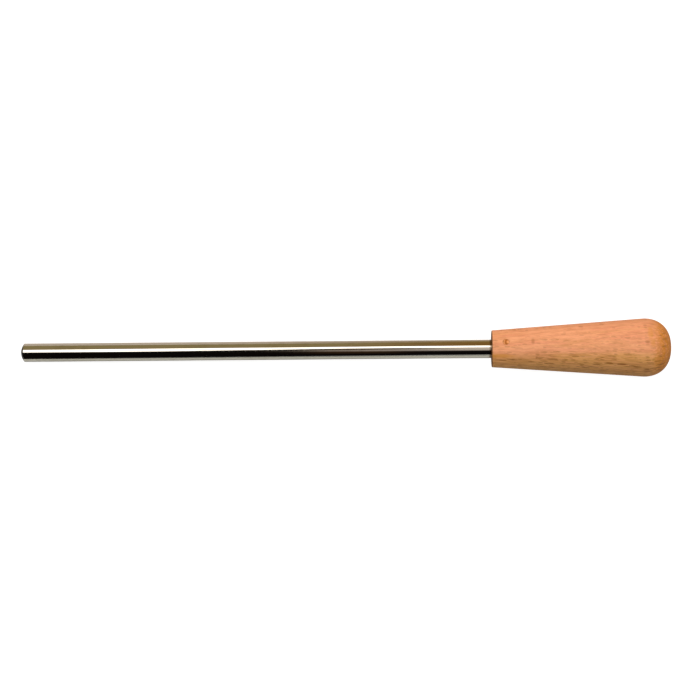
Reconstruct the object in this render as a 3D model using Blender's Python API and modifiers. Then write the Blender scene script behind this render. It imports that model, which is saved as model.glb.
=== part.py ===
"""Garden dibber: a plated steel rod set in a turned beech handle.

The tool lies along +X. The centre of the rod's tip is at the origin and the handle is at the +X end.
The rod stands in a blind bore in the handle, on a pool of hardened adhesive. A steel cross pin goes through
both, and a short wooden plug closes the hole that the pin went in by.
"""

import bpy
from math import cos, pi, radians, sin, sqrt, tan

ROD_RADIUS = 0.005
ROD_LENGTH = 0.300
ROD_SHOWN = 0.256
CROWN_RADIUS = 0.0077
CROWN_STEPS = 8
TIP_FLAT_RADIUS = 0.0015
TAIL_CHAMFER = 0.0003

HANDLE_LENGTH = 0.0965
FRONT_RADIUS = 0.0100
TAPER = 0.070
TAPER_LENGTH = 0.0811
BUTT_FULLNESS = 2.4
BUTT_STEPS = 16
RIM_BREAK = 0.0004

FIT_GAP = 0.0003
ADHESIVE_DEPTH = 0.0012
DRILL_POINT_ANGLE = radians(118)

PIN_RADIUS = 0.0015
PIN_HALF_LENGTH = 0.0080
PIN_CHAMFER = 0.0003
PIN_FROM_FRONT = 0.0074
PIN_TILT = radians(15.5)
PLUG_TOP = 0.0102
HOLE_OVERRUN = 0.0030

TURN_STEPS = 48
PIN_STEPS = 24
MERGE_DISTANCE = 0.000001
SMOOTH_ANGLE = radians(30)

FRONT_FACE = ROD_SHOWN
BORE_RADIUS = ROD_RADIUS + FIT_GAP
BORE_WALL_END = ROD_LENGTH + FIT_GAP + ADHESIVE_DEPTH + FIT_GAP
PIN_X = FRONT_FACE + PIN_FROM_FRONT
PIN_HOLE_RADIUS = PIN_RADIUS + FIT_GAP
PIN_HOLE_BOTTOM = -PIN_HALF_LENGTH - FIT_GAP
PIN_HOLE_TOP = FRONT_RADIUS + HOLE_OVERRUN
PLUG_BOTTOM = PIN_HALF_LENGTH + FIT_GAP


def clear_scene():
    for found in list(bpy.data.objects):
        bpy.data.objects.remove(found, do_unlink=True)


def make_collection(name):
    collection = bpy.data.collections.new(name)
    bpy.context.scene.collection.children.link(collection)
    return collection


def make_material(name, colour, roughness, metallic):
    material = bpy.data.materials.new(name)
    material.use_nodes = True
    shader = material.node_tree.nodes["Principled BSDF"]
    shader.inputs["Base Color"].default_value = (*colour, 1.0)
    shader.inputs["Roughness"].default_value = roughness
    shader.inputs["Metallic"].default_value = metallic
    return material


def make_axis(name, location, rotation, collection, parent):
    """An empty whose local +Z is the axis that its pieces are placed along."""
    axis = bpy.data.objects.new(name, None)
    axis.location = location
    axis.rotation_euler = rotation
    axis.empty_display_size = 0.02
    axis.parent = parent
    collection.objects.link(axis)
    return axis


def make_turned(name, profile, material, collection, parent):
    """A solid of revolution about local Z, from (radius, height) points that run down its outer side.

    It is turned by half a step, so that a flat facet and not an edge faces down.
    """
    mesh = bpy.data.meshes.new(name)
    points = [(radius, 0.0, height) for radius, height in profile]
    edges = [(index, index + 1) for index in range(len(points) - 1)]
    mesh.from_pydata(points, edges, [])
    turned = bpy.data.objects.new(name, mesh)
    collection.objects.link(turned)
    turned.parent = parent
    turned.rotation_euler = (0.0, 0.0, pi / TURN_STEPS)
    screw = turned.modifiers.new("turn", "SCREW")
    screw.axis = "Z"
    screw.angle = 2 * pi
    screw.steps = TURN_STEPS
    screw.render_steps = TURN_STEPS
    screw.use_merge_vertices = True
    screw.merge_threshold = MERGE_DISTANCE
    screw.use_smooth_shade = True
    mesh.materials.append(material)
    bake_modifiers(turned)
    return turned


def bake_modifiers(turned):
    """Replaces the profile by the mesh it is turned into, and marks the edges that stay sharp."""
    graph = bpy.context.evaluated_depsgraph_get()
    baked = bpy.data.meshes.new_from_object(turned.evaluated_get(graph), depsgraph=graph)
    profile = turned.data
    turned.modifiers.clear()
    turned.data = baked
    bpy.data.meshes.remove(profile)
    baked.name = turned.name
    baked.shade_smooth()
    baked.set_sharp_from_angle(angle=SMOOTH_ANGLE)


def make_cylinder(name, radius, bottom, top, collection, parent):
    """A cylinder along its parent's local Z, from one height to another."""
    bpy.ops.mesh.primitive_cylinder_add(vertices=PIN_STEPS, radius=radius, depth=top - bottom)
    cylinder = bpy.context.object
    cylinder.name = name
    cylinder.data.name = name
    for holder in list(cylinder.users_collection):
        holder.objects.unlink(cylinder)
    collection.objects.link(cylinder)
    cylinder.parent = parent
    cylinder.location = (0.0, 0.0, (bottom + top) / 2)
    cylinder.data.shade_smooth()
    cylinder.data.set_sharp_from_angle(angle=SMOOTH_ANGLE)
    return cylinder


def chamfer_ends(cylinder, width):
    bevel = cylinder.modifiers.new("chamfer", "BEVEL")
    bevel.width = width
    bevel.segments = 1
    bevel.limit_method = "ANGLE"
    bevel.angle_limit = SMOOTH_ANGLE


def cut(target, cutter):
    boolean = target.modifiers.new("cut_" + cutter.name, "BOOLEAN")
    boolean.operation = "DIFFERENCE"
    boolean.solver = "EXACT"
    boolean.object = cutter


def hide_cutter(cutter):
    cutter.hide_render = True
    cutter.display_type = "WIRE"


def crown_height(radius):
    """How far the crowned tip has fallen back from a full dome's top, at this radius."""
    return CROWN_RADIUS - sqrt(CROWN_RADIUS**2 - radius**2)


def rod_profile():
    """The rod, from its square end in the handle down to the small flat in the middle of its crowned tip."""
    points = [
        (0.0, ROD_LENGTH),
        (ROD_RADIUS - TAIL_CHAMFER, ROD_LENGTH),
        (ROD_RADIUS, ROD_LENGTH - TAIL_CHAMFER),
    ]
    for step in range(CROWN_STEPS + 1):
        share = step / CROWN_STEPS
        radius = ROD_RADIUS + (TIP_FLAT_RADIUS - ROD_RADIUS) * share
        points.append((radius, crown_height(radius) - crown_height(TIP_FLAT_RADIUS)))
    points[-1] = (TIP_FLAT_RADIUS, 0.0)
    points.append((0.0, 0.0))
    return points


def butt_points():
    """The rounded end, from the axis out to where the straight taper starts.

    The taper's line goes on to the end of the handle, and closes in by (1 - share^2)^(1 / fullness), where
    share is the way gone from the end of the taper to the end of the handle.
    """
    points = []
    for step in range(BUTT_STEPS + 1):
        angle = pi / 2 * step / BUTT_STEPS
        along = TAPER_LENGTH + (HANDLE_LENGTH - TAPER_LENGTH) * cos(angle)
        across = (FRONT_RADIUS + TAPER * along) * sin(angle) ** (2 / BUTT_FULLNESS)
        points.append((across, FRONT_FACE + along))
    return points


def drill_point(radius):
    """How far the cone left by a drill of this radius goes past the straight wall."""
    return radius / tan(DRILL_POINT_ANGLE / 2)


def handle_profile():
    bore_tip = BORE_WALL_END + drill_point(BORE_RADIUS)
    return butt_points() + [
        (FRONT_RADIUS + TAPER * RIM_BREAK, FRONT_FACE + RIM_BREAK),
        (FRONT_RADIUS - RIM_BREAK, FRONT_FACE),
        (BORE_RADIUS, FRONT_FACE),
        (BORE_RADIUS, BORE_WALL_END),
        (0.0, bore_tip),
    ]


def adhesive_profile():
    """The pool that fills the bore's drilled end, under the rod."""
    base = ROD_LENGTH + FIT_GAP
    return [
        (0.0, base + ADHESIVE_DEPTH + drill_point(ROD_RADIUS)),
        (ROD_RADIUS, base + ADHESIVE_DEPTH),
        (ROD_RADIUS, base),
        (0.0, base),
    ]


def main():
    clear_scene()
    parts = make_collection("garden_dibber")
    cutters = make_collection("cutters")
    tool_axis = make_axis("tool_axis", (0.0, 0.0, 0.0), (0.0, pi / 2, 0.0), parts, None)
    pin_axis = make_axis("pin_axis", (0.0, 0.0, PIN_X), (0.0, -pi / 2, -PIN_TILT), parts, tool_axis)

    nickel = make_material("nickel_plate", (0.76, 0.73, 0.67), 0.06, 1.0)
    beech = make_material("beech", (0.78, 0.42, 0.22), 0.55, 0.0)
    adhesive = make_material("adhesive", (0.55, 0.40, 0.16), 0.30, 0.0)
    steel = make_material("pin_steel", (0.48, 0.48, 0.50), 0.35, 1.0)
    plug_wood = make_material("plug_wood", (0.62, 0.28, 0.10), 0.60, 0.0)

    rod = make_turned("rod", rod_profile(), nickel, parts, tool_axis)
    handle = make_turned("handle", handle_profile(), beech, parts, tool_axis)
    make_turned("adhesive_pool", adhesive_profile(), adhesive, parts, tool_axis)

    pin = make_cylinder("cross_pin", PIN_RADIUS, -PIN_HALF_LENGTH, PIN_HALF_LENGTH, parts, pin_axis)
    pin.data.materials.append(steel)
    chamfer_ends(pin, PIN_CHAMFER)

    plug = make_cylinder("pin_plug", PIN_RADIUS, PLUG_BOTTOM, PLUG_TOP, parts, pin_axis)
    plug.data.materials.append(plug_wood)

    hole = make_cylinder("pin_hole", PIN_HOLE_RADIUS, PIN_HOLE_BOTTOM, PIN_HOLE_TOP, cutters, pin_axis)
    hide_cutter(hole)
    cut(rod, hole)
    cut(handle, hole)


main()
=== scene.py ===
from math import atan2, cos, pi, radians, sin, sqrt, tan

import bpy
import numpy as np
from mathutils import Matrix, Vector


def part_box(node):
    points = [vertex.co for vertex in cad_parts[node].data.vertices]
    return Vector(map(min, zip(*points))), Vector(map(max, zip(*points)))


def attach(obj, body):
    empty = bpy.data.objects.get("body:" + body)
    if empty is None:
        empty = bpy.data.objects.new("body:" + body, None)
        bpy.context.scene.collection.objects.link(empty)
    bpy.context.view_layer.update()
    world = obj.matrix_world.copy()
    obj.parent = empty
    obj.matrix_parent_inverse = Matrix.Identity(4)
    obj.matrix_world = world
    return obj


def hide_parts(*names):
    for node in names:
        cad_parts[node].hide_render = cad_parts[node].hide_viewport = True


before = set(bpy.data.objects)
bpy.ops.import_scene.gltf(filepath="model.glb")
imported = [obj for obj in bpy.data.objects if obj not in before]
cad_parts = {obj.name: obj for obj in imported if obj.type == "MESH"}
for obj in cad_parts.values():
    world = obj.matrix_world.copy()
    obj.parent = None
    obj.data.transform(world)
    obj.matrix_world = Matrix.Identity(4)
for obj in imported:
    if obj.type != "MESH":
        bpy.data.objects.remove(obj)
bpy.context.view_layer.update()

rodLow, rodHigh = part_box("rod")
handleLow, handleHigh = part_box("handle")
pinLow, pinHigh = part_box("cross_pin")
plugLow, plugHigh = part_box("pin_plug")
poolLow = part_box("adhesive_pool")[0]
facetFit = cos(pi / 48)  # the solids have 48 flat sides, so their box is this part of the round tool


# 0 up to start and 1 from end on, with share^2 * (3 - 2 * share) between them.
def fade(values, start, end):
    share = np.clip((values - start) / (end - start), 0, 1)
    return share * share * (3 - 2 * share)


def readVectors(mesh, name):
    flat = np.empty(len(mesh.vertices) * 3)
    mesh.vertices.foreach_get(name, flat)
    return flat.reshape(-1, 3)


def writeMask(mesh, name, values):
    layer = mesh.attributes.new(name, "FLOAT", "POINT")
    layer.data.foreach_set("value", values.astype(np.float32))


# The volume inside a closed skin: a sixth of the sum of each triangle's corner triple product.
def skinVolume(mesh):
    mesh.calc_loop_triangles()
    corners = np.empty(len(mesh.loop_triangles) * 3, np.int32)
    mesh.loop_triangles.foreach_get("vertices", corners)
    a, b, c = readVectors(mesh, "co")[corners.reshape(-1, 3)].transpose(1, 0, 2)
    return float((a * np.cross(b, c)).sum() / 6)


# A closed skin over rings of points. Ring i is joined to ring i + 1 by quads, and the first and the last ring
# are closed by fans of triangles to the two poles.
def closedSkin(name, grid, poles):
    rings, steps = grid.shape[:2]
    points = np.concatenate([grid.reshape(-1, 3), poles])
    here = np.arange(steps)
    after = (here + 1) % steps
    row = np.arange(rings - 1)[:, None] * steps
    quads = np.stack([row + here, row + after, row + steps + after, row + steps + here], axis=-1)
    firstPole = rings * steps
    lastRow = firstPole - steps
    startFan = np.stack([after, here, np.full(steps, firstPole)], axis=-1)
    endFan = np.stack([lastRow + here, lastRow + after, np.full(steps, firstPole + 1)], axis=-1)
    faces = quads.reshape(-1, 4).tolist() + startFan.tolist() + endFan.tolist()
    mesh = bpy.data.meshes.new(name)
    mesh.from_pydata(points.tolist(), [], faces)
    mesh.update()
    if skinVolume(mesh) < 0:
        mesh.flip_normals()
    mesh.shade_smooth()
    piece = bpy.data.objects.new(name, mesh)
    bpy.context.scene.collection.objects.link(piece)
    return piece


# A profile turned round X. Point (i, j) is (along_i, across_i * sin(turn_j), across_i * cos(turn_j)).
# The profile's first and last points lie on the axis and become the poles.
def turnedSkin(name, along, across, steps):
    turn = np.arange(steps) * 2 * pi / steps
    grid = np.empty((len(along) - 2, steps, 3))
    grid[:, :, 0] = along[1:-1, None]
    grid[:, :, 1] = across[1:-1, None] * np.sin(turn)
    grid[:, :, 2] = across[1:-1, None] * np.cos(turn)
    poles = np.array([[along[0], 0.0, 0.0], [along[-1], 0.0, 0.0]])
    return closedSkin(name, grid, poles)


# Part of a circle, for broken edges: centre + radius * (cos(turn), sin(turn)) from one turn to another.
def arc(centreAlong, centreAcross, radius, startTurn, endTurn, count):
    turn = np.linspace(startTurn, endTurn, count)
    return centreAlong + radius * np.cos(turn), centreAcross + radius * np.sin(turn)


rod = {
    "radius": rodHigh.z / facetFit,
    "tip": rodLow.x,
    "tail": rodHigh.x,
    "crownRadius": 0.0077,
    "tipFlat": 0.0015,
    "edgeBreak": 0.00012,
    "edgeStretch": 2.2,  # the broken edge is this much longer along the rod than across it
    "tailChamfer": 0.0003,
    "crownRows": 18,
    "edgeRows": 6,
    "shankRows": 70,
    "steps": 256,
    "sharp": radians(40),
}


# The crowned tip: a small flat, then a dome that falls back by R - sqrt(R^2 - r^2), then a broken edge.
def rodProfile():
    flat = rod["tipFlat"]
    dome = rod["crownRadius"]
    radius = rod["radius"]
    edge = rod["edgeBreak"]
    lift = dome - sqrt(dome**2 - flat**2)
    crownAcross = np.linspace(flat, radius - edge, rod["crownRows"])
    crownAlong = rod["tip"] + dome - np.sqrt(dome**2 - crownAcross**2) - lift
    edgeTurn = np.linspace(0, pi / 2, rod["edgeRows"])[1:]
    edgeAcross = radius - edge * (1 - np.sin(edgeTurn))
    edgeAlong = crownAlong[-1] + rod["edgeStretch"] * edge * (1 - np.cos(edgeTurn))
    shank = np.linspace(edgeAlong[-1], rod["tail"] - rod["tailChamfer"], rod["shankRows"])[1:]
    along = np.concatenate([
        [rod["tip"], rod["tip"]], crownAlong, edgeAlong, shank, [rod["tail"], rod["tail"]],
    ])
    across = np.concatenate([
        [0.0, flat * 0.5], crownAcross, edgeAcross, np.full(len(shank), radius),
        [radius - rod["tailChamfer"], 0.0],
    ])
    return along, across


handle = {
    "front": handleLow.x,
    "length": handleHigh.x - handleLow.x,
    "frontRadius": 0.0100,
    "taper": 0.070,
    "taperLength": 0.0811,
    "fullness": 2.4,
    "rimRadius": 0.00045,
    "boreRadius": 0.00508,
    "mouthBreak": 0.00015,
    "boreEnd": 0.3018,
    "drillAngle": radians(118),
    "taperRows": 210,
    "buttRows": 80,
    "rimRows": 9,
    "faceRows": 16,
    "mouthRows": 5,
    "boreRows": 40,
    "steps": 224,
    "sharp": radians(40),
}


# The handle's outside radius at a distance from its front: a straight taper, closed in over the butt by
# (1 - share^2)^(1 / fullness), share being the way gone through the butt.
def handleRadius(fromFront):
    buttLength = handle["length"] - handle["taperLength"]
    share = np.clip((fromFront - handle["taperLength"]) / buttLength, 0, 1)
    return (handle["frontRadius"] + handle["taper"] * fromFront) * (1 - share**2) ** (1 / handle["fullness"])


# The cone that a drill leaves past a bore's straight wall.
def drillPoint(radius):
    return radius / tan(handle["drillAngle"] / 2)


# From the butt's middle along the outside to the front, over the flat front, and back down the bore. Over the
# butt, along is taperLength + buttLength * cos(turn), and across is taperLine * sin(turn)^(2 / fullness).
def handleProfile():
    bore = handle["boreRadius"]
    rim = handle["rimRadius"]
    mouth = handle["mouthBreak"]
    boreEnd = handle["boreEnd"] - handle["front"]
    turn = np.linspace(0, pi / 2, handle["buttRows"])
    buttAlong = handle["taperLength"] + (handle["length"] - handle["taperLength"]) * np.cos(turn)
    taperLine = handle["frontRadius"] + handle["taper"] * buttAlong
    buttAcross = taperLine * np.sin(turn) ** (2 / handle["fullness"])
    taperAlong = np.linspace(handle["taperLength"], rim, handle["taperRows"])[1:]
    taperAcross = handle["frontRadius"] + handle["taper"] * taperAlong
    rimAlong, rimAcross = arc(rim, taperAcross[-1] - rim, rim, pi / 2, pi, handle["rimRows"])
    faceAcross = np.linspace(rimAcross[-1], bore + mouth, handle["faceRows"])[1:]
    mouthAlong, mouthAcross = arc(mouth, bore + mouth, mouth, pi, 3 * pi / 2, handle["mouthRows"])
    boreAlong = np.linspace(mouth, boreEnd, handle["boreRows"])[1:]
    along = handle["front"] + np.concatenate([
        buttAlong, taperAlong, rimAlong[1:], np.zeros(len(faceAcross)), mouthAlong[1:], boreAlong,
        [boreEnd + drillPoint(bore)],
    ])
    across = np.concatenate([
        buttAcross, taperAcross, rimAcross[1:], faceAcross, mouthAcross[1:], np.full(len(boreAlong), bore),
        [0.0],
    ])
    across[0] = 0.0
    return along, across


pin = {
    "radius": 0.0015,
    "halfLength": 0.0080,
    "chamfer": 0.0003,
    "along": (pinLow.x + pinHigh.x) / 2,
    "tilt": atan2((plugLow.y + plugHigh.y) / 2, (plugLow.z + plugHigh.z) / 2),
    "holeRadius": 0.00160,
    "holePast": 0.0002,  # the hole goes this much deeper than the pin's lower end
    "holeAbove": 0.0040,  # and the cutter stands this much above the handle's front radius
    "rows": 12,
    "steps": 96,
    "sharp": radians(30),
}


# Turns a shape made along X so that its axis points up and a little towards +Y, through the pin's place.
def placeAcross(piece):
    upright = Matrix.Rotation(-pi / 2, 4, "Y")
    leaned = Matrix.Rotation(-pin["tilt"], 4, "X")
    piece.data.transform(Matrix.Translation((pin["along"], 0, 0)) @ leaned @ upright)


# A straight pin whose ends are cut back by the chamfer, both along and across.
def pinProfile():
    end = pin["halfLength"]
    shoulder = pin["radius"] - pin["chamfer"]
    wall = np.linspace(-end + pin["chamfer"], end - pin["chamfer"], pin["rows"])
    along = np.concatenate([[-end, -end], wall, [end, end]])
    across = np.concatenate([[0.0, shoulder], np.full(len(wall), pin["radius"]), [shoulder, 0.0]])
    return along, across


# A plain cylinder, from a little past the pin's lower end to above the handle's outside.
def holeCutter():
    top = handle["frontRadius"] + pin["holeAbove"]
    bottom = -pin["halfLength"] - pin["holePast"]
    radius = pin["holeRadius"]
    along = np.array([bottom, bottom, top, top])
    across = np.array([0.0, radius, radius, 0.0])
    cutter = turnedSkin("holeCutter", along, across, pin["steps"])
    placeAcross(cutter)
    return cutter


def cutHole(piece, cutter):
    boolean = piece.modifiers.new("pinHole", "BOOLEAN")
    boolean.operation = "DIFFERENCE"
    boolean.solver = "EXACT"
    boolean.object = cutter
    graph = bpy.context.evaluated_depsgraph_get()
    cut = bpy.data.meshes.new_from_object(piece.evaluated_get(graph), depsgraph=graph)
    whole = piece.data
    piece.modifiers.clear()
    piece.data = cut
    bpy.data.meshes.remove(whole)
    cut.name = piece.name


plug = {
    "radius": 0.00150,
    "shift": 0.00008,
    "sunk": 0.00005,
    "rimDrop": 0.00005,
    "bottom": 0.0083,
    "rings": 14,
    "steps": 96,
    "sharp": radians(50),
}


# The plug's top follows the handle's outside: at (u, v) across the pin the surface is sqrt(R(x)^2 - v^2) up.
# Rings run from the middle of the top out to its edge, down the side and in to the middle of the bottom.
def plugSkin():
    turn = np.arange(plug["steps"]) * 2 * pi / plug["steps"]
    radius = plug["radius"]
    rings = plug["rings"]
    share = np.linspace(0, 1, rings + 1)[1:]
    ringRadius = np.concatenate([radius * share, [radius, radius / 2]])
    u = ringRadius[:, None] * np.cos(turn) + plug["shift"]
    v = ringRadius[:, None] * np.sin(turn)
    fromFront = pin["along"] - handle["front"]
    top = np.sqrt(handleRadius(fromFront + u)**2 - v**2) - plug["sunk"]
    top[rings - 1] -= plug["rimDrop"]
    top[rings:] = plug["bottom"]
    middleTop = float(handleRadius(np.array(fromFront + plug["shift"]))) - plug["sunk"]
    poles = np.array([[middleTop, 0, -plug["shift"]], [plug["bottom"], 0, -plug["shift"]]])
    piece = closedSkin("endGrainPlug", np.stack([top, v, -u], axis=-1), poles)
    placeAcross(piece)
    return piece


pool = {
    "radius": 0.00500,
    "wall": 0.0012,
    "start": poolLow.x - 0.00015,  # a little nearer the rod than the solid's
    "meniscus": 0.0006,
    "rows": 10,
    "steps": 128,
    "sharp": radians(40),
}


# The face under the rod, which creeps up the wall by meniscus * share^6, then the wall and the drill's cone.
def poolProfile():
    radius = pool["radius"]
    share = np.linspace(0, 1, pool["rows"])
    faceAlong = pool["start"] - pool["meniscus"] * share**6
    wallEnd = pool["start"] + pool["wall"]
    along = np.concatenate([faceAlong, [wallEnd, wallEnd + drillPoint(radius)]])
    across = np.concatenate([radius * share, [radius, 0.0]])
    return along, across


rodPiece = turnedSkin("platedRod", *rodProfile(), rod["steps"])
handlePiece = turnedSkin("beechHandle", *handleProfile(), handle["steps"])
cutter = holeCutter()
cutHole(rodPiece, cutter)
cutHole(handlePiece, cutter)
bpy.data.objects.remove(cutter)
pinPiece = turnedSkin("steelCrossPin", *pinProfile(), pin["steps"])
placeAcross(pinPiece)
plugPiece = plugSkin()
poolPiece = turnedSkin("adhesiveFill", *poolProfile(), pool["steps"])
pieces = {rodPiece: rod, handlePiece: handle, pinPiece: pin, plugPiece: plug, poolPiece: pool}
for piece, sizes in pieces.items():
    piece.data.set_sharp_from_angle(angle=sizes["sharp"])
print(len(pieces), "pieces shaped,", sum(len(piece.data.polygons) for piece in pieces), "faces")


# The pith is where the tree's middle was, seen from the tool's axis. The fades are parts of a face's normal.
# A spot is (distance from the front, turn from the top towards +Y, length, width, strength).
handleMarks = {
    "pith": (0.0, 0.034, -0.085),
    "endGrainAndShadeFade": (0.02, 0.62),
    "frontGrainAndShadeFade": (0.15, 0.75),
    "flatRayFade": (0.55, 0.95),
    "spotFade": (0.3, 1.0),
    "knots": [
        (0.0217, radians(15), 0.0013, 0.0024, 0.55),
        (0.0236, radians(-30), 0.0009, 0.0010, 0.90),
        (0.0822, radians(6), 0.0020, 0.0010, 0.85),
        (0.0815, radians(44), 0.0014, 0.0012, 0.45),
        (0.0520, radians(150), 0.0012, 0.0010, 0.70),
    ],
    "oilSpots": [
        (0.0040, radians(-27), 0.0110, 0.0018, 0.85),
        (0.0840, radians(24), 0.0022, 0.0060, 0.60),
        (0.0850, radians(5), 0.0020, 0.0030, 0.55),
        (0.0880, radians(-34), 0.0030, 0.0042, 0.50),
    ],
}


# How far each point faces along the grain, on the butt and apart from that on the front, both of which also
# carry painted shade, and how far it faces across the line to the pith, where the rays lie flat in the
# surface and show less.
def grainMasks(piece):
    mesh = piece.data
    pith = handleMarks["pith"]
    normals = readVectors(mesh, "normal")
    crossways = np.array([0.0, -pith[2], pith[1]]) / np.hypot(pith[1], pith[2])
    writeMask(mesh, "endGrainAndShade", fade(normals[:, 0], *handleMarks["endGrainAndShadeFade"]))
    writeMask(mesh, "frontGrainAndShade", fade(-normals[:, 0], *handleMarks["frontGrainAndShadeFade"]))
    writeMask(mesh, "flatRay", fade(np.abs(normals @ crossways), *handleMarks["flatRayFade"]))


# Each spot is soft and strongest in its middle, by a distance of hypot(along / length, across / width).
def spotMask(piece, name, spots):
    points = readVectors(piece.data, "co")
    turn = np.arctan2(points[:, 1], points[:, 2])
    across = np.hypot(points[:, 1], points[:, 2])
    fromFront = points[:, 0] - handle["front"]
    mask = np.zeros(len(points))
    for along, spotTurn, length, width, strength in spots:
        apart = np.abs((turn - spotTurn + pi) % (2 * pi) - pi) * across
        distance = np.hypot((fromFront - along) / length, apart / width)
        mask = np.maximum(mask, strength * (1 - fade(distance, *handleMarks["spotFade"])))
    writeMask(piece.data, name, mask)


plugMarks = {
    "under": 0.001,  # the marks go this far below the plug's bottom, and no deeper
    "ringReach": 0.0006,
    "ringShare": 0.05,
    "ringTipShare": 0.30,  # added on the side that faces the rod's tip
    "tipSideFade": (-0.45, 0.35),
    "crescentForward": 0.0010,
    "crescentRadius": 0.0013,
    "crescentSquash": 0.9,
    "crescentEdge": (0.00025, 0.00080),
    "crescentEnd": (-0.0003, 0.0007),
}


# The dark ring round the pin's hole, stronger on its tip side, and a crescent on the plug, which is part of a
# circle that stands a little towards the butt. The ring is written on the piece and the crescent is returned.
def plugStain(piece):
    points = readVectors(piece.data, "co")
    axis = np.array([0.0, sin(pin["tilt"]), cos(pin["tilt"])])
    sideways = np.array([0.0, cos(pin["tilt"]), -sin(pin["tilt"])])
    offset = points - np.array([pin["along"], 0.0, 0.0])
    along = offset[:, 0]
    across = offset @ sideways
    outer = (offset @ axis) > plug["bottom"] - plugMarks["under"]
    distance = np.hypot(along, across)
    tipSide = fade(-along / np.maximum(distance, 1e-6), *plugMarks["tipSideFade"])
    ring = 1 - fade(distance, pin["holeRadius"], pin["holeRadius"] + plugMarks["ringReach"])
    darkness = plugMarks["ringShare"] + plugMarks["ringTipShare"] * tipSide
    writeMask(piece.data, "stain", ring * darkness * outer)
    inward = along - plugMarks["crescentForward"]
    circle = np.hypot(inward, across * plugMarks["crescentSquash"])
    edge = 1 - fade(np.abs(circle - plugMarks["crescentRadius"]), *plugMarks["crescentEdge"])
    return edge * (1 - fade(inward, *plugMarks["crescentEnd"])) * outer


grainMasks(handlePiece)
spotMask(handlePiece, "knot", handleMarks["knots"])
spotMask(handlePiece, "oilSpot", handleMarks["oilSpots"])
plugStain(handlePiece)
writeMask(plugPiece.data, "rimStain", plugStain(plugPiece))
print("masks written")


def setInput(tree, socket, value):
    if isinstance(value, bpy.types.NodeSocket):
        tree.links.new(value, socket)
    elif value is not None:
        socket.default_value = value


def addNode(tree, kind, inputs=None, **settings):
    node = tree.nodes.new(kind)
    for name, value in settings.items():
        setattr(node, name, value)
    for name, value in (inputs or {}).items():
        setInput(tree, node.inputs[name], value)
    return node


def calculate(tree, operation, *values):
    return addNode(tree, "ShaderNodeMath", dict(enumerate(values)), operation=operation).outputs[0]


def product(tree, *factors):
    result = factors[0]
    for factor in factors[1:]:
        result = calculate(tree, "MULTIPLY", result, factor)
    return result


def inverse(tree, value):
    return calculate(tree, "SUBTRACT", 1.0, value)


def remap(tree, value, start, end, low=0.0, high=1.0, curve="LINEAR"):
    inputs = {"Value": value, "From Min": start, "From Max": end, "To Min": low, "To Max": high}
    return addNode(tree, "ShaderNodeMapRange", inputs, interpolation_type=curve).outputs["Result"]


def smooth(tree, value, *ends):
    return remap(tree, value, *ends, curve="SMOOTHSTEP")


def between(tree, share, low, high):
    return remap(tree, share, 0.0, 1.0, low, high)


def blendColour(tree, factor, first, second):
    node = addNode(tree, "ShaderNodeMix", data_type="RGBA")
    setInput(tree, node.inputs[0], factor)
    setInput(tree, node.inputs[6], first)
    setInput(tree, node.inputs[7], second)
    return node.outputs[2]


def splitVector(tree, vector):
    return addNode(tree, "ShaderNodeSeparateXYZ", {0: vector}).outputs


def joinVector(tree, x, y, z):
    return addNode(tree, "ShaderNodeCombineXYZ", {0: x, 1: y, 2: z}).outputs[0]


def scaled(tree, vector, scale):
    return addNode(tree, "ShaderNodeVectorMath", {0: vector, 1: scale}, operation="MULTIPLY").outputs[0]


def noise(tree, vector, scale=1.0, detail=2.0, roughness=0.5, distortion=0.0):
    node = addNode(tree, "ShaderNodeTexNoise", {
        "Vector": vector, "Scale": scale, "Detail": detail, "Roughness": roughness, "Distortion": distortion,
    })
    return node.outputs["Fac"]


def bump(tree, height, distance, strength=1.0, normal=None):
    inputs = {"Height": height, "Distance": distance, "Strength": strength, "Normal": normal}
    return addNode(tree, "ShaderNodeBump", inputs).outputs["Normal"]


def objectPlace(tree):
    return addNode(tree, "ShaderNodeTexCoord").outputs["Object"]


def readMask(tree, name):
    return addNode(tree, "ShaderNodeAttribute", attribute_name=name).outputs["Fac"]


# Inputs are names with their default values, and an input with no value is a vector. Outputs are all floats.
def startGroup(name, inputs, outputs):
    group = bpy.data.node_groups.new(name, "ShaderNodeTree")
    for label, value in inputs.items():
        kind = "NodeSocketVector" if value is None else "NodeSocketFloat"
        socket = group.interface.new_socket(name=label, in_out="INPUT", socket_type=kind)
        if value is not None:
            socket.default_value = value
    for label in outputs:
        group.interface.new_socket(name=label, in_out="OUTPUT", socket_type="NodeSocketFloat")
    source = group.nodes.new("NodeGroupInput").outputs
    result = group.nodes.new("NodeGroupOutput").inputs
    return group, source, result


def placeGroup(tree, group, inputs):
    node = tree.nodes.new("ShaderNodeGroup")
    node.node_tree = group
    for name, value in inputs.items():
        setInput(tree, node.inputs[name], value)
    return node.outputs


def startMaterial(name):
    material = bpy.data.materials.new(name)
    material.use_nodes = True
    return material, material.node_tree, material.node_tree.nodes["Principled BSDF"]


def dress(tree, shader, colour, roughness, normal):
    setInput(tree, shader.inputs["Base Color"], colour)
    setInput(tree, shader.inputs["Roughness"], roughness)
    setInput(tree, shader.inputs["Normal"], normal)


# One layer after another over a colour. A layer is (colour, share), laid on by its mask times its share.
def paintLayers(tree, colour, layers, masks):
    for name, (layerColour, share) in layers.items():
        colour = blendColour(tree, product(tree, masks[name], share), colour, layerColour)
    return colour


# A starting value plus each mask times its share.
def addShares(tree, total, shares, masks):
    for name, share in shares.items():
        total = calculate(tree, "MULTIPLY_ADD", masks[name], share, total)
    return total


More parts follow.
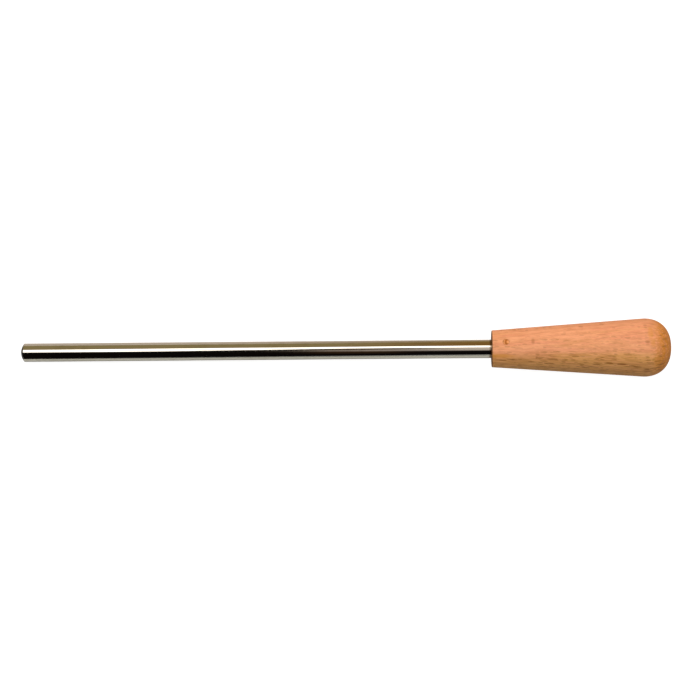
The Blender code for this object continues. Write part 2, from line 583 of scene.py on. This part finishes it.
beech = {
    "swayScale": (9.0, 38.0, 38.0),
    "swayReach": 0.0042,
    "swayTurn": 0.35,
    "turnRadius": 0.085,
    "lateWoodRise": (0.35, 0.92),
    "lateWoodFall": (1.0, 0.95),
    "fibreStretch": (0.055, 1.0, 1.0),
    "fibreDetail": 2.5,
    "fibreRoughness": 0.62,
    "streakScale": (26.0, 520.0, 520.0),
    "streakRoughness": 0.55,
    "poreScale": (420.0, 7500.0, 7500.0),
    "poreFade": (0.62, 0.74),
    "toneScale": (11.0, 70.0, 70.0),
    "fibreHeight": 0.7,
    "poreHeight": -0.7,
    "rayHeight": -0.25,
}
rayShape = {
    "depthScale": 260.0,
    "cellScale": 0.62,
    "chanceSoftness": 0.08,
    "size": (0.14, 0.36),
    "raggedness": 0.9,
    "strength": (0.35, 1.0),
    "broadSoftness": 0.09,
    "fineLength": 0.52,  # of a broad ray's
    "fineWidth": 0.72,  # of a broad ray's
    "fineShare": 0.6,
    "fineSoftness": 0.11,
    "fineSeed": 7.3,
}


# Beech as a solid pattern. Place is a point measured from the pith, with X along the trunk. The distance from
# the pith gives the yearly rings, and the turn round it times a fixed radius gives the way across the rays.
# Rays are thin upright lenses that run out from the pith, so they show as short dashes on a face that looks
# away from the pith, and as wide flakes on a face that looks across it.
def beechFigure():
    group, source, result = startGroup("beechFigure", {
        "Place": None,
        "Ring Width": 0.0024,
        "Ray Length": 0.0040,
        "Ray Width": 0.00062,
        "Ray Share": 0.55,
        "Fibre Width": 0.0005,
    }, ["Ring", "Ray", "Fine Ray", "Streak", "Fibre", "Pore", "Tone", "Height"])
    place = source["Place"]
    parts = splitVector(group, place)
    sway = noise(group, scaled(group, place, beech["swayScale"]))
    wander = calculate(group, "MULTIPLY_ADD", sway, beech["swayReach"], -beech["swayReach"] / 2)
    acrossSquare = calculate(group, "POWER", parts["Y"], 2.0)
    squares = calculate(group, "MULTIPLY_ADD", parts["Z"], parts["Z"], acrossSquare)
    depth = calculate(group, "ADD", calculate(group, "SQRT", squares), wander)
    turn = calculate(group, "ARCTAN2", parts["Y"], parts["Z"])
    turnWander = calculate(group, "MULTIPLY", wander, beech["swayTurn"])
    around = calculate(group, "MULTIPLY_ADD", turn, beech["turnRadius"], turnWander)

    ringShare = calculate(group, "FRACT", calculate(group, "DIVIDE", depth, source["Ring Width"]))
    rise = smooth(group, ringShare, *beech["lateWoodRise"])
    fall = smooth(group, ringShare, *beech["lateWoodFall"])

    slender = scaled(group, place, beech["fibreStretch"])
    fibrePlace = addNode(group, "ShaderNodeVectorMath", {0: slender}, operation="SCALE")
    setInput(group, fibrePlace.inputs["Scale"], calculate(group, "DIVIDE", 1.0, source["Fibre Width"]))
    fibre = noise(group, fibrePlace.outputs[0], 1.0, beech["fibreDetail"], beech["fibreRoughness"])

    # Each cell of a stretched cell pattern holds at most one ray, with its own chance, size and strength.
    def rays(length, width, share, softness, seed):
        u = calculate(group, "DIVIDE", parts["X"], length)
        v = calculate(group, "DIVIDE", around, width)
        w = calculate(group, "MULTIPLY_ADD", depth, rayShape["depthScale"], seed)
        cell = addNode(group, "ShaderNodeTexVoronoi", {
            "Vector": joinVector(group, u, v, w), "Scale": rayShape["cellScale"], "Randomness": 1.0,
        })
        chance = addNode(group, "ShaderNodeSeparateColor", {0: cell.outputs["Color"]}).outputs
        rarity = inverse(group, share)
        kept = smooth(group, chance[0], rarity, calculate(group, "ADD", rarity, rayShape["chanceSoftness"]))
        size = between(group, chance[1], *rayShape["size"])
        distance = calculate(group, "SUBTRACT", cell.outputs["Distance"], rayShape["raggedness"] / 2)
        ragged = calculate(group, "MULTIPLY_ADD", fibre, rayShape["raggedness"], distance)
        lens = smooth(group, ragged, calculate(group, "ADD", size, softness), size)
        return product(group, lens, kept, between(group, chance[2], *rayShape["strength"]))

    broadSizes = (source["Ray Length"], source["Ray Width"], source["Ray Share"])
    broadRay = rays(*broadSizes, rayShape["broadSoftness"], 0.0)
    fineLength = calculate(group, "MULTIPLY", source["Ray Length"], rayShape["fineLength"])
    fineWidth = calculate(group, "MULTIPLY", source["Ray Width"], rayShape["fineWidth"])
    fineShare = rayShape["fineShare"]
    fineRay = rays(fineLength, fineWidth, fineShare, rayShape["fineSoftness"], rayShape["fineSeed"])

    streakPlace = scaled(group, place, beech["streakScale"])
    pore = noise(group, scaled(group, place, beech["poreScale"]), detail=1.0)
    poreDots = smooth(group, pore, *beech["poreFade"])
    rayDips = calculate(group, "MULTIPLY", broadRay, beech["rayHeight"])
    dips = calculate(group, "MULTIPLY_ADD", poreDots, beech["poreHeight"], rayDips)
    setInput(group, result["Ring"], calculate(group, "MULTIPLY", rise, fall))
    setInput(group, result["Ray"], broadRay)
    setInput(group, result["Fine Ray"], fineRay)
    setInput(group, result["Streak"], noise(group, streakPlace, roughness=beech["streakRoughness"]))
    setInput(group, result["Fibre"], fibre)
    setInput(group, result["Pore"], poreDots)
    setInput(group, result["Tone"], noise(group, scaled(group, place, beech["toneScale"])))
    setInput(group, result["Height"], calculate(group, "MULTIPLY_ADD", fibre, beech["fibreHeight"], dips))
    return group


# A share given as a pair runs from plain wood to where its mask is full. That mask is the -Y side, which
# holds painted shade and more figure, the end grain, the flat rays, or the marked wood, which is the -Y side
# and part of the butt.
wood = {
    "pale": (0.800, 0.345, 0.180, 1),
    "layers": {
        "ochre": ((0.740, 0.328, 0.135, 1), 0.70),
        "rose": ((0.750, 0.285, 0.155, 1), 0.65),
        # Painted shade: the -Y half, turned from the light, is darker and more olive.
        "shadedFiguredSide": ((0.690, 0.345, 0.100, 1), 0.85),
        # Darker end grain over the butt, partly real end grain and partly painted shade where the dome turns
        # from the light.
        "endGrainAndShade": ((0.590, 0.212, 0.013, 1), 0.92),
        "lateWood": ((0.560, 0.215, 0.088, 1), 1.0),
        "fibreLight": ((0.900, 0.430, 0.240, 1), 0.40),
        "fibreDark": ((0.440, 0.170, 0.055, 1), 1.0),
        "darkStreak": ((0.440, 0.170, 0.055, 1), 0.34),
        "fineRay": ((0.275, 0.094, 0.014, 1), 1.0),
        "ray": ((0.275, 0.094, 0.014, 1), 1.0),
        "pore": ((0.275, 0.094, 0.014, 1), 0.22),
        # Darker front face, partly real end grain and partly painted shade, as the face looks away from the
        # light.
        "frontGrainAndShade": ((0.230, 0.095, 0.030, 1), 0.85),
        "oilSpot": ((0.640, 0.255, 0.030, 1), 0.70),
        "knot": ((0.300, 0.090, 0.020, 1), 0.75),
        "stain": ((0.420, 0.125, 0.022, 1), 1.0),
    },
    "grainSlope": 0.038,
    "flare": 3.0,
    "sideScale": (14.0, 160.0, 160.0),
    "sideWander": 0.008,
    "shadedFiguredSideFade": (0.0030, -0.0035),
    "ochreTone": (0.42, 0.62),
    "roseStreak": (0.46, 0.62),
    "darkStreakFade": (0.50, 0.66),
    "fibreLightFade": (0.50, 0.34),
    "fibreDarkFade": (0.48, 0.68),
    "buttMarked": 0.45,
    "flatRayShare": (1.0, 0.22),
    "rayChance": (0.30, 0.78),
    "lateWoodShare": (0.22, 0.60),
    "fibreDarkShare": (0.32, 0.56),
    "fineRayShare": (0.32, 0.62),
    "rayShare": (0.42, 0.90),
    "roughness": 0.56,
    "roughShares": {"ray": -0.12, "streak": 0.14, "endGrainAndShade": 0.12},
    "bumpDistance": 0.00006,
    "bumpStrength": 0.7,
    "specular": 0.32,
}


# The fibres slope a little to the front side, and spread towards the butt as they do below a swelling.
def grainPlace(tree):
    parts = splitVector(tree, objectPlace(tree))
    fromFront = calculate(tree, "SUBTRACT", parts["X"], handle["front"])
    spread = calculate(tree, "MULTIPLY_ADD", fromFront, wood["flare"], 1.0)
    sloped = calculate(tree, "MULTIPLY_ADD", fromFront, wood["grainSlope"], parts["Y"])
    grain = joinVector(tree, parts["X"], calculate(tree, "DIVIDE", sloped, spread), parts["Z"])
    pith = handleMarks["pith"]
    fromPith = addNode(tree, "ShaderNodeVectorMath", {0: grain, 1: pith}, operation="SUBTRACT").outputs[0]
    return fromPith, parts


def oiledBeech(figureGroup):
    material, tree, shader = startMaterial("oiledBeech")
    grain, parts = grainPlace(tree)
    wander = noise(tree, scaled(tree, grain, wood["sideScale"]))
    side = calculate(tree, "MULTIPLY_ADD", wander, wood["sideWander"], parts["Y"])
    # Painted shade on the -Y half, with a wandering edge; this mask also gives that side more rays, darker
    # fibres and the dark streaks.
    shadedFiguredSide = smooth(tree, side, *wood["shadedFiguredSideFade"])
    figure = placeGroup(tree, figureGroup, {
        "Place": grain,
        "Ray Share": between(tree, shadedFiguredSide, *wood["rayChance"]),
    })
    endGrainAndShade = readMask(tree, "endGrainAndShade")
    buttMarked = calculate(tree, "MULTIPLY", endGrainAndShade, wood["buttMarked"])
    marked = calculate(tree, "MAXIMUM", shadedFiguredSide, buttMarked)
    flatFade = between(tree, readMask(tree, "flatRay"), *wood["flatRayShare"])
    rayMarked = calculate(tree, "MULTIPLY", marked, flatFade)
    fibreDark = smooth(tree, figure["Fibre"], *wood["fibreDarkFade"])
    darkStreak = smooth(tree, figure["Streak"], *wood["darkStreakFade"])
    rayShare = between(tree, rayMarked, *wood["rayShare"])
    masks = {
        "ochre": smooth(tree, figure["Tone"], *wood["ochreTone"]),
        "rose": smooth(tree, figure["Streak"], *wood["roseStreak"]),
        "shadedFiguredSide": shadedFiguredSide,
        "endGrainAndShade": endGrainAndShade,
        "lateWood": product(tree, figure["Ring"], between(tree, endGrainAndShade, *wood["lateWoodShare"])),
        "fibreLight": smooth(tree, figure["Fibre"], *wood["fibreLightFade"]),
        "fibreDark": product(tree, fibreDark, between(tree, marked, *wood["fibreDarkShare"])),
        "darkStreak": product(tree, darkStreak, shadedFiguredSide),
        "fineRay": product(tree, figure["Fine Ray"], between(tree, rayMarked, *wood["fineRayShare"])),
        "ray": product(tree, figure["Ray"], rayShare, flatFade),
        "pore": figure["Pore"],
        "frontGrainAndShade": readMask(tree, "frontGrainAndShade"),
        "oilSpot": readMask(tree, "oilSpot"),
        "knot": readMask(tree, "knot"),
        "stain": readMask(tree, "stain"),
    }
    colour = paintLayers(tree, wood["pale"], wood["layers"], masks)
    rough = addShares(tree, wood["roughness"], wood["roughShares"], {
        "ray": figure["Ray"], "streak": figure["Streak"], "endGrainAndShade": endGrainAndShade,
    })
    normal = bump(tree, figure["Height"], wood["bumpDistance"], wood["bumpStrength"])
    dress(tree, shader, colour, rough, normal)
    shader.inputs["Specular IOR Level"].default_value = wood["specular"]
    return material


plugWood = {
    "pale": (0.80, 0.33, 0.12, 1),
    "layers": {
        "ring": ((0.68, 0.25, 0.08, 1), 0.25),
        "pore": ((0.275, 0.094, 0.014, 1), 0.35),
        "rim": ((0.420, 0.125, 0.022, 1), 1.0),
    },
    "grainShift": (0.02, 0.004, 0.021),
    "grainTurn": (0.0, radians(84), 0.3),
    "ringWidth": 0.0009,
    "rayWidth": 0.0003,
    "roughness": (0.52, 0.74),
    "bumpDistance": 0.00006,
    "specular": 0.3,
}


# The plug is cut across the trunk, so its figure is laid nearly upright and shows end grain on top.
def darkPlug(figureGroup):
    material, tree, shader = startMaterial("plugEndGrain")
    turned = addNode(tree, "ShaderNodeMapping", {
        "Vector": objectPlace(tree),
        "Location": plugWood["grainShift"],
        "Rotation": plugWood["grainTurn"],
    })
    figure = placeGroup(tree, figureGroup, {
        "Place": turned.outputs[0],
        "Ring Width": plugWood["ringWidth"],
        "Ray Width": plugWood["rayWidth"],
    })
    masks = {"ring": figure["Ring"], "pore": figure["Pore"], "rim": readMask(tree, "rimStain")}
    colour = paintLayers(tree, plugWood["pale"], plugWood["layers"], masks)
    rough = between(tree, figure["Streak"], *plugWood["roughness"])
    dress(tree, shader, colour, rough, bump(tree, figure["Height"], plugWood["bumpDistance"]))
    shader.inputs["Specular IOR Level"].default_value = plugWood["specular"]
    return material


markShape = {
    "lineStretch": (60.0, 9000.0, 9000.0),
    "waveScale": (22.0, 130.0, 130.0),
    "smearDetail": 4.0,
    "smearRoughness": 0.62,
    "smearDistortion": 0.8,
    "smearFade": (0.46, 0.72),
    "scratchAxis": (0.3, 0.2, 1.0),
    "scratchTurn": 0.42,
    "scratchStretch": (70.0, 5200.0, 5200.0),
    "scratchFade": (0.80, 0.84),
    "fewScale": (55.0, 160.0, 160.0),
    "fewFade": (0.52, 0.62),
}


# Marks of making and handling on polished metal: lengthwise polishing lines, a slow waviness, smudges where
# fingers have been, and a few fine scratches. Smear is where the polish is dulled.
def metalMarks():
    group, source, result = startGroup("metalMarks", {
        "Place": None,
        "Line Scale": 1.0,
        "Smear Scale": 90.0,
    }, ["Line", "Wave", "Smear", "Scratch"])
    place = source["Place"]
    line = noise(group, scaled(group, place, markShape["lineStretch"]), scale=source["Line Scale"])
    wave = noise(group, scaled(group, place, markShape["waveScale"]), detail=1.0)
    smear = noise(
        group, place, source["Smear Scale"], markShape["smearDetail"], markShape["smearRoughness"],
        markShape["smearDistortion"],
    )
    crossed = addNode(group, "ShaderNodeVectorRotate", {
        "Vector": place, "Axis": markShape["scratchAxis"], "Angle": markShape["scratchTurn"],
    })
    scratch = noise(group, scaled(group, crossed.outputs[0], markShape["scratchStretch"]), detail=0.0)
    few = noise(group, scaled(group, place, markShape["fewScale"]), detail=0.0)
    scratchMask = smooth(group, scratch, *markShape["scratchFade"])
    setInput(group, result["Line"], line)
    setInput(group, result["Wave"], wave)
    setInput(group, result["Smear"], smooth(group, smear, *markShape["smearFade"]))
    setInput(group, result["Scratch"], product(group, scratchMask, smooth(group, few, *markShape["fewFade"])))
    return group


nickel = {
    "clean": (0.735, 0.690, 0.610, 1),
    "layers": {
        "smear": ((0.670, 0.625, 0.540, 1), 1.0),
        "wear": ((0.42, 0.40, 0.37, 1), 0.5),
        # Painted shade and a painted brown reflection of the handle's front face, on the rod just before the
        # handle.
        "handleShadeOnRod": ((0.20, 0.105, 0.035, 1), 0.80),
    },
    "lineScale": 1.0,
    "smearScale": 85.0,
    "wearFade": (0.0032, 0.0004),
    "handleShadeOnRodWander": 0.0006,
    "handleShadeOnRodFade": (-0.0017, -0.0005),  # from the handle's front
    "roughness": 0.050,
    "roughShares": {"smear": 0.030, "line": 0.030, "scratch": 0.12, "wear": 0.22, "handleShadeOnRod": 0.12},
    "waveDistance": 0.00010,
    "waveStrength": 0.5,
    "lineDistance": 0.0000012,
    "scratchDistance": -0.000003,
}


def nickelPlate(marksGroup):
    material, tree, shader = startMaterial("nickelPlate")
    place = objectPlace(tree)
    marks = placeGroup(tree, marksGroup, {
        "Place": place, "Line Scale": nickel["lineScale"], "Smear Scale": nickel["smearScale"],
    })
    along = splitVector(tree, place)["X"]
    wear = product(tree, smooth(tree, along, *nickel["wearFade"]), marks["Line"])
    # Painted shade and painted reflection: the rod turns dark brown and duller over the last 1.7 mm before
    # the handle, with a wandering edge.
    handleShadeOnRodPlace = calculate(tree, "MULTIPLY_ADD", marks["Smear"], nickel["handleShadeOnRodWander"], along)
    handleShadeOnRodStart, handleShadeOnRodEnd = nickel["handleShadeOnRodFade"]
    handleShadeOnRod = smooth(tree, handleShadeOnRodPlace, handle["front"] + handleShadeOnRodStart, handle["front"] + handleShadeOnRodEnd)
    masks = {
        "smear": marks["Smear"], "line": marks["Line"], "scratch": marks["Scratch"], "wear": wear, "handleShadeOnRod": handleShadeOnRod,
    }
    colour = paintLayers(tree, nickel["clean"], nickel["layers"], masks)
    rough = addShares(tree, nickel["roughness"], nickel["roughShares"], masks)
    normal = bump(tree, marks["Wave"], nickel["waveDistance"], nickel["waveStrength"])
    normal = bump(tree, marks["Line"], nickel["lineDistance"], normal=normal)
    normal = bump(tree, marks["Scratch"], nickel["scratchDistance"], normal=normal)
    dress(tree, shader, colour, rough, normal)
    shader.inputs["Metallic"].default_value = 1.0
    return material


steel = {
    "clean": (0.50, 0.50, 0.51, 1),
    "smeared": (0.36, 0.35, 0.34, 1),
    "lineScale": 2.0,
    "smearScale": 400.0,
    "roughness": 0.22,
    "lineRoughness": 0.25,
    "lineDistance": 0.000006,
}


def drawnSteel(marksGroup):
    material, tree, shader = startMaterial("drawnSteel")
    marks = placeGroup(tree, marksGroup, {
        "Place": objectPlace(tree),
        "Line Scale": steel["lineScale"],
        "Smear Scale": steel["smearScale"],
    })
    colour = blendColour(tree, marks["Smear"], steel["clean"], steel["smeared"])
    rough = calculate(tree, "MULTIPLY_ADD", marks["Line"], steel["lineRoughness"], steel["roughness"])
    dress(tree, shader, colour, rough, bump(tree, marks["Line"], steel["lineDistance"]))
    shader.inputs["Metallic"].default_value = 1.0
    return material


adhesive = {
    "light": (0.62, 0.44, 0.17, 1),
    "layers": {
        "cloud": ((0.48, 0.31, 0.09, 1), 1.0),
        "bubbles": ((0.80, 0.68, 0.42, 1), 0.4),
    },
    "cloudScale": 900.0,
    "bubbleScale": 1400.0,
    "bubbleFade": (0.26, 0.20),
    "roughness": (0.3, 0.7, 0.18, 0.34),  # as the cloud goes from the first to the second
    "bubbleDistance": 0.00008,
}


def hardenedAdhesive():
    material, tree, shader = startMaterial("hardenedAdhesive")
    place = objectPlace(tree)
    cloud = noise(tree, place, scale=adhesive["cloudScale"], detail=3.0)
    cells = addNode(tree, "ShaderNodeTexVoronoi", {"Vector": place, "Scale": adhesive["bubbleScale"]})
    bubbles = smooth(tree, cells.outputs["Distance"], *adhesive["bubbleFade"])
    masks = {"cloud": cloud, "bubbles": bubbles}
    colour = paintLayers(tree, adhesive["light"], adhesive["layers"], masks)
    rough = remap(tree, cloud, *adhesive["roughness"])
    dress(tree, shader, colour, rough, bump(tree, bubbles, adhesive["bubbleDistance"]))
    return material


figureGroup = beechFigure()
marksGroup = metalMarks()
finishes = {
    rodPiece: (nickelPlate(marksGroup), "rod", "nickel_plate"),
    handlePiece: (oiledBeech(figureGroup), "handle", "beech"),
    poolPiece: (hardenedAdhesive(), "adhesive_pool", "adhesive"),
    pinPiece: (drawnSteel(marksGroup), "cross_pin", "pin_steel"),
    plugPiece: (darkPlug(figureGroup), "pin_plug", "plug_wood"),
}
for piece, (material, node, slot) in finishes.items():
    piece.data.materials.clear()
    piece.data.materials.append(material)
    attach(piece, "root")
    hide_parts(node)
print(len(finishes), "finishes on")


studio = {
    "bellySearch": 0.06,
    "bellySamples": 400,
    "tipContact": 0.0017,  # the crown meets the floor this far from the tip
    "lens": 95.7,
    "sensor": 36.0,
    "clip": (0.05, 50.0),
    "distance": 1.010,
    "lookAt": 0.1793,
    "leanBack": radians(5.0),
    "roll": radians(0.48),
    "lampTarget": (0.28, 0.0, 0.0),
    "lamps": {  # place, size, power and colour
        "softPanelBehind": ((0.10, 0.75, 0.80), 0.60, 5.55, (1.0, 0.98, 0.93)),
        "softPanelOver": ((0.20, 0.10, 1.10), 0.70, 2.35, (1.0, 0.97, 0.94)),
        "softPanelFront": ((0.30, -0.80, 0.30), 0.60, 0.90, (0.97, 1.0, 0.70)),
        "softPanelButt": ((1.20, -0.10, 0.25), 0.60, 1.25, (1.0, 0.97, 0.82)),
    },
}

# The tool lies on its belly and its tip, so the floor leans by the difference of the two radii.
bellyFromFront = np.linspace(studio["bellySearch"], handle["length"], studio["bellySamples"])
bellyRadii = handleRadius(bellyFromFront)
bellyAlong = handle["front"] + float(bellyFromFront[bellyRadii.argmax()])
floorLean = atan2(float(bellyRadii.max()) - rod["radius"], bellyAlong - studio["tipContact"])
floorUp = Vector((sin(floorLean), 0.0, cos(floorLean)))

# A shade is mixed in where its fade says, by Y, and by X too if it has a second fade. The near edge's fade
# reads Y and a part of X, so that the edge leans.
card = {
    "half": 4.0,
    "drop": 0.00006,
    "rows": 41,
    "crowding": 2.2,
    "eyeDark": (0.22, 0.22, 0.22, 1),
    "eyeLight": (0.25, 0.25, 0.25, 1),
    "fleckScale": 260.0,
    "glow": 0.95,
    "near": (0.50, 0.52, 0.52, 1),
    "beyond": (0.535, 0.490, 0.455, 1),
    "beyondFade": (0.0, 0.004),
    "floorShadeAndBounce": (0.26, 0.19, 0.09, 1),
    "floorShadeAndBounceFade": (0.012, 0.045),
    "floorShadeAndBounceAlong": (0.03, 0.27),
    "nearEdge": (0.04, 0.035, 0.03, 1),
    "nearEdgeSlope": 0.35,
    "nearEdgeFade": (-0.045, -0.16),
    "pastTip": (0.03, 0.03, 0.035, 1),
    "pastTipFade": (0.0095, 0.0055),
    "pastTipAlong": (0.003, -0.005),
}


# A flat sheet: point (i, j) is middle + u_i * along + v_j * across. Both u and v are half * share^crowding,
# so the rows are closer near the middle.
def floorSheet():
    share = np.linspace(-1, 1, card["rows"])
    reach = card["half"] * np.sign(share) * np.abs(share) ** card["crowding"]
    alongDir = np.array([cos(floorLean), 0.0, -sin(floorLean)])
    acrossDir = np.array([0.0, 1.0, 0.0])
    middle = np.array([studio["tipContact"], 0.0, -rod["radius"]]) - np.array(floorUp) * card["drop"]
    u, v = np.meshgrid(reach, reach, indexing="ij")
    points = middle + u[..., None] * alongDir + v[..., None] * acrossDir
    count = len(reach)
    cell = (np.arange(count - 1)[:, None] * count + np.arange(count - 1)).ravel()
    quads = np.stack([cell, cell + count, cell + count + 1, cell + 1], axis=-1)
    mesh = bpy.data.meshes.new("studioFloor")
    mesh.from_pydata(points.reshape(-1, 3).tolist(), [], quads.tolist())
    sheet = bpy.data.objects.new("studioFloor", mesh)
    bpy.context.scene.collection.objects.link(sheet)
    return sheet


# Pale card: near white to the eye, and duller in reflections and bounced light, with painted shade and
# painted brown bounce light behind the handle.
def paleCard():
    material = bpy.data.materials.new("paleCard")
    material.use_nodes = True
    tree = material.node_tree
    tree.nodes.clear()
    place = objectPlace(tree)
    x, y = splitVector(tree, place)[:2]
    fleck = noise(tree, place, scale=card["fleckScale"], detail=3.0)
    eyeColour = blendColour(tree, fleck, card["eyeDark"], card["eyeLight"])
    seen = addNode(tree, "ShaderNodeBsdfDiffuse", {"Color": eyeColour})
    glow = addNode(tree, "ShaderNodeEmission", {"Color": (1, 1, 1, 1), "Strength": card["glow"]})
    bright = addNode(tree, "ShaderNodeAddShader", {0: seen.outputs[0], 1: glow.outputs[0]})

    # Painted shade and painted bounce light from the wood: darker and browner on the +Y side behind the
    # handle.
    floorShadeAndBounce = product(tree, smooth(tree, y, *card["floorShadeAndBounceFade"]), smooth(tree, x, *card["floorShadeAndBounceAlong"]))
    leaning = calculate(tree, "MULTIPLY_ADD", x, card["nearEdgeSlope"], y)
    nearEdge = smooth(tree, leaning, *card["nearEdgeFade"])
    underTip = smooth(tree, calculate(tree, "ABSOLUTE", y), *card["pastTipFade"])
    pastTip = product(tree, smooth(tree, x, *card["pastTipAlong"]), underTip)
    shade = blendColour(tree, smooth(tree, y, *card["beyondFade"]), card["near"], card["beyond"])
    shade = blendColour(tree, floorShadeAndBounce, shade, card["floorShadeAndBounce"])
    shade = blendColour(tree, nearEdge, shade, card["nearEdge"])
    shade = blendColour(tree, pastTip, shade, card["pastTip"])
    dull = addNode(tree, "ShaderNodeBsdfDiffuse", {"Color": shade})
    toEye = addNode(tree, "ShaderNodeLightPath").outputs["Is Camera Ray"]
    mixed = addNode(tree, "ShaderNodeMixShader", {0: toEye, 1: dull.outputs[0], 2: bright.outputs[0]})
    addNode(tree, "ShaderNodeOutputMaterial", {"Surface": mixed.outputs[0]})
    return material


# Across is an angle in degrees from overhead towards +Y, and along is the X part of a direction. A fade is a
# start and an end. An edge is (along, along, angle, angle), which runs from the first angle to the second,
# and its softness in degrees.
room = {
    "toEye": (1.05, 1.05, 1.05, 1),
    "light": (2.60, 2.56, 2.46, 1),
    "lightLower": ((-0.13, -0.03, -1.2, 16.4), 4.0),
    "lightUpper": ((-0.20, 0.02, 28.0, 35.0), 4.5),
    "lightEnds": (0.75, 0.28, 0.40, 1.0),
    "cloth": (0.004, 0.003, 0.003, 1),
    "wall": (0.28, 0.225, 0.110, 1),
    "wallAcross": (4.0, 42.0),
    "wallByHandle": (0.23, 0.125, 0.034, 1),
    "byHandleAlong": (-0.05, 0.04),
    "dimCard": (0.050, 0.024, 0.010, 1),
    "dimCardAlong": [(-0.060, -0.040), (0.000, -0.014)],
    "dimCardAcross": [(-66.0, -22.0), (40.0, 10.0)],
    "card": (1.0, 0.90, 0.83, 1),
    "cardAcross": [(-31.0, -11.0), (40.0, 30.0)],
    "cardSteps": [  # the card brightens by the last number over each of these fades along
        (-0.064, -0.040, 0.0, 0.22),
        (-0.034, -0.018, 0.0, 0.13),
        (-0.005, 0.040, 0.0, 0.27),
    ],
    "gapAcross": [(-3.5, -0.5), (15.0, 11.0)],
    "gapAlong": (0.020, -0.006),
    "horizon": ((-0.20, 0.03, -91.0, -83.0), 3.0),
    "ends": (0.010, 0.010, 0.014, 1),
    "endsAlong": [(-0.93, -0.74), (0.95, 0.75)],
}


# The room round the tool. A long soft light hangs just past overhead, with a dim card beside it over the
# handle's half. A brown wall stands behind, and black cloth in front and past both ends. The eye sees white.
def studioRoom():
    world = bpy.data.worlds.new("studioRoom")
    bpy.context.scene.world = world
    world.use_nodes = True
    tree = world.node_tree
    tree.nodes.clear()
    along, sideways, upwards = splitVector(tree, addNode(tree, "ShaderNodeTexCoord").outputs["Generated"])
    across = calculate(tree, "DEGREES", calculate(tree, "ARCTAN2", sideways, upwards))

    def band(value, fades):
        return product(tree, *[smooth(tree, value, *ends) for ends in fades])

    def pastEdge(edge, softness):
        apart = calculate(tree, "SUBTRACT", across, remap(tree, along, *edge))
        return smooth(tree, apart, -softness, softness)

    byHandle = smooth(tree, along, *room["byHandleAlong"])
    wall = blendColour(tree, byHandle, room["wall"], room["wallByHandle"])
    view = blendColour(tree, smooth(tree, across, *room["wallAcross"]), room["cloth"], wall)

    dimCard = product(tree, band(along, room["dimCardAlong"]), band(across, room["dimCardAcross"]))
    view = blendColour(tree, dimCard, view, room["dimCard"])
    cardGlow = smooth(tree, along, *room["cardSteps"][0])
    for step in room["cardSteps"][1:]:
        cardGlow = calculate(tree, "ADD", cardGlow, smooth(tree, along, *step))
    gap = product(tree, band(across, room["gapAcross"]), smooth(tree, along, *room["gapAlong"]))
    cardMask = product(tree, band(across, room["cardAcross"]), cardGlow, inverse(tree, gap))
    view = blendColour(tree, cardMask, view, room["card"])

    pastLower = pastEdge(*room["lightLower"])
    pastUpper = pastEdge(*room["lightUpper"])
    length = smooth(tree, calculate(tree, "ABSOLUTE", along), *room["lightEnds"])
    view = blendColour(tree, product(tree, pastLower, inverse(tree, pastUpper), length), view, room["light"])

    view = blendColour(tree, pastEdge(*room["horizon"]), card["near"], view)
    view = blendColour(tree, band(along, room["endsAlong"]), room["ends"], view)
    toEye = addNode(tree, "ShaderNodeLightPath").outputs["Is Camera Ray"]
    view = blendColour(tree, toEye, view, room["toEye"])
    background = addNode(tree, "ShaderNodeBackground", {"Color": view, "Strength": 1.0})
    addNode(tree, "ShaderNodeOutputWorld", {"Surface": background.outputs[0]})


# The lamps light the wood and the floor, and don't show in the plated rod.
def softPanel(name, place, size, power, colour):
    light = bpy.data.lights.new(name, "AREA")
    light.shape = "DISK"
    light.size = size
    light.energy = power
    light.color = colour
    panel = bpy.data.objects.new(name, light)
    panel.location = place
    panel.visible_glossy = False
    panel.rotation_mode = "QUATERNION"
    panel.rotation_quaternion = (Vector(studio["lampTarget"]) - Vector(place)).to_track_quat("-Z", "Y")
    bpy.context.scene.collection.objects.link(panel)


# The camera looks down on the middle of the tool, square to the floor but for a small lean and a small roll.
def makeCamera():
    camera = bpy.data.objects.new("camera", bpy.data.cameras.new("camera"))
    back = (cos(studio["leanBack"]) * floorUp + sin(studio["leanBack"]) * Vector((0, -1, 0))).normalized()
    level = Vector((1, 0, 0))
    level = (level - level.dot(back) * back).normalized()
    upward = back.cross(level)
    right = cos(studio["roll"]) * level - sin(studio["roll"]) * upward
    top = sin(studio["roll"]) * level + cos(studio["roll"]) * upward
    camera.rotation_mode = "QUATERNION"
    camera.rotation_quaternion = Matrix((right, top, back)).transposed().to_quaternion()
    camera.location = Vector((studio["lookAt"], 0, 0)) + back * studio["distance"]
    camera.data.lens = studio["lens"]
    camera.data.sensor_width = studio["sensor"]
    camera.data.clip_start, camera.data.clip_end = studio["clip"]
    bpy.context.scene.collection.objects.link(camera)
    bpy.context.scene.camera = camera


floor = floorSheet()
floor.data.materials.append(paleCard())
studioRoom()
for name, lamp in studio["lamps"].items():
    softPanel(name, *lamp)
makeCamera()
bpy.context.scene.view_settings.view_transform = "Standard"
print("studio set,", len(studio["lamps"]), "lamps")

bpy.context.view_layer.update()
